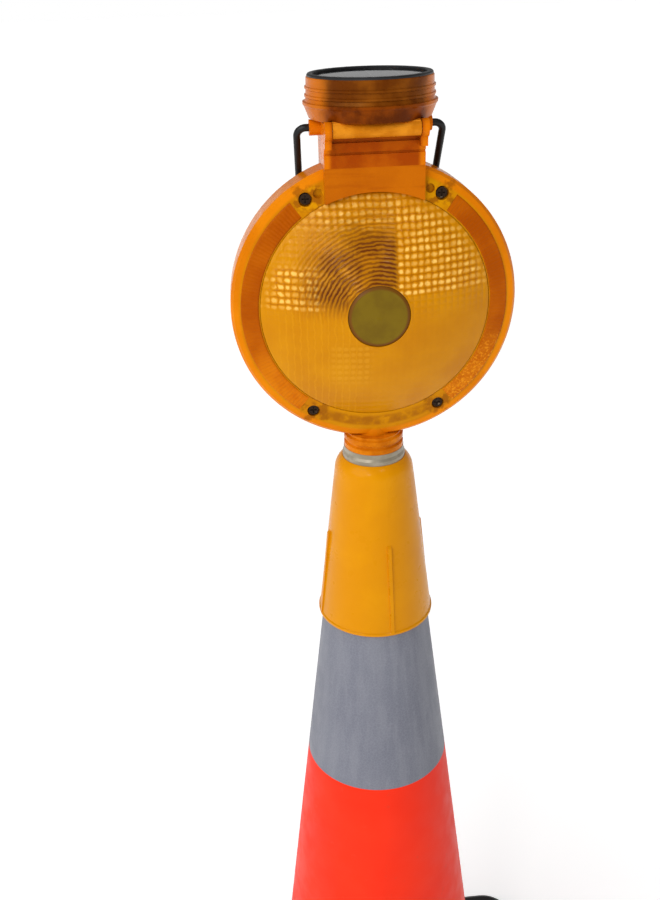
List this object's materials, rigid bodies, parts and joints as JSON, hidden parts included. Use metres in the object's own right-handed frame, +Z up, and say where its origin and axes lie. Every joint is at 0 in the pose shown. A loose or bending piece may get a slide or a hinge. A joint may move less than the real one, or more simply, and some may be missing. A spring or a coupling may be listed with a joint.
{
  "type": "traffic cone with solar warning lamp",
  "caption": "Traffic barrier: a reflective road cone on a weighted base, with a lift-off adaptor and a round amber solar warning lamp with a carrying bail.",
  "frame": {"origin": "on the ground at the centre of the square base", "axes": "+Z up along the cone, -Y the way the front lens faces, +X to the right of the lens seen from behind"},
  "size_m": [0.38, 0.38, 1.035],
  "materials": {
    "rubber_black": "matte",
    "pvc_red": "satin",
    "sleeve_grey": "satin",
    "cap_yellow": "satin",
    "ring_grey": "matte",
    "zinc_steel": "satin",
    "amber_housing": "gloss",
    "amber_lens": "gloss",
    "olive_window": "gloss",
    "white_plastic": "satin",
    "led_clear": "gloss",
    "board_green": "satin",
    "brass": "satin",
    "cell_jacket": "gloss",
    "black_plastic": "satin",
    "black_coating": "satin",
    "seal_rubber": "matte",
    "clear_cover": "gloss",
    "solar_dark": "gloss"
  },
  "bodies": {
    "cone": {"cone_base": "rubber_black", "cone_body": "pvc_red", "reflective_sleeve": "sleeve_grey"},
    "adaptor": {"adaptor_cap": "cap_yellow", "clamp_bolt": "zinc_steel", "clamp_washer": "zinc_steel", "spacer_ring": "ring_grey"},
    "lamp": {"mount_collar": "amber_housing", "mount_insert": "brass", "front_shell": "amber_housing", "rear_shell": "amber_housing", "front_lens": "amber_lens", "rear_lens": "amber_lens", "front_window": "olive_window", "rear_window": "olive_window", "front_reflector": "white_plastic", "rear_reflector": "white_plastic", "front_leds": "led_clear", "rear_leds": "led_clear", "led_board": "board_green", "rim_seal": "seal_rubber", "shell_screws": "zinc_steel", "shell_inserts": "brass", "battery_cells": "cell_jacket", "battery_contacts": "zinc_steel", "battery_tray": "black_plastic", "control_board": "board_green", "board_components": "black_plastic", "lamp_leads": "seal_rubber", "switch_body": "black_plastic", "switch_bezel": "black_plastic", "hinge_pin": "zinc_steel", "charge_socket": "black_plastic"},
    "head": {"head_housing": "amber_housing", "panel_bezel": "black_plastic", "panel_cover": "clear_cover", "solar_cell": "solar_dark", "charge_plug": "black_plastic", "solar_leads": "seal_rubber"},
    "bail": {"bail_handle": "black_coating"},
    "button": {"switch_button": "seal_rubber"}
  },
  "joints": [
    {"name": "adaptor_lift", "type": "slide", "parent": "cone", "child": "adaptor", "axis": [0, 0, 1], "range_m": [0, 0.16]},
    {"name": "lamp_swivel", "type": "hinge", "parent": "adaptor", "child": "lamp", "pos_m": [0, 0, 0.775], "axis": [0, 0, 1], "continuous": true},
    {"name": "head_hinge", "type": "hinge", "parent": "lamp", "child": "head", "pos_m": [0, -0.03, 1.0034], "axis": [1, 0, 0], "range_deg": [0, 90]},
    {"name": "bail_swing", "type": "hinge", "parent": "lamp", "child": "bail", "pos_m": [0, 0, 1.002], "axis": [1, 0, 0], "range_deg": [0, 303]},
    {"name": "switch_press", "type": "slide", "parent": "lamp", "child": "button", "axis": [0, -1, 0], "range_m": [0, 0.0015], "stiffness_N_per_m": 600}
  ]
}
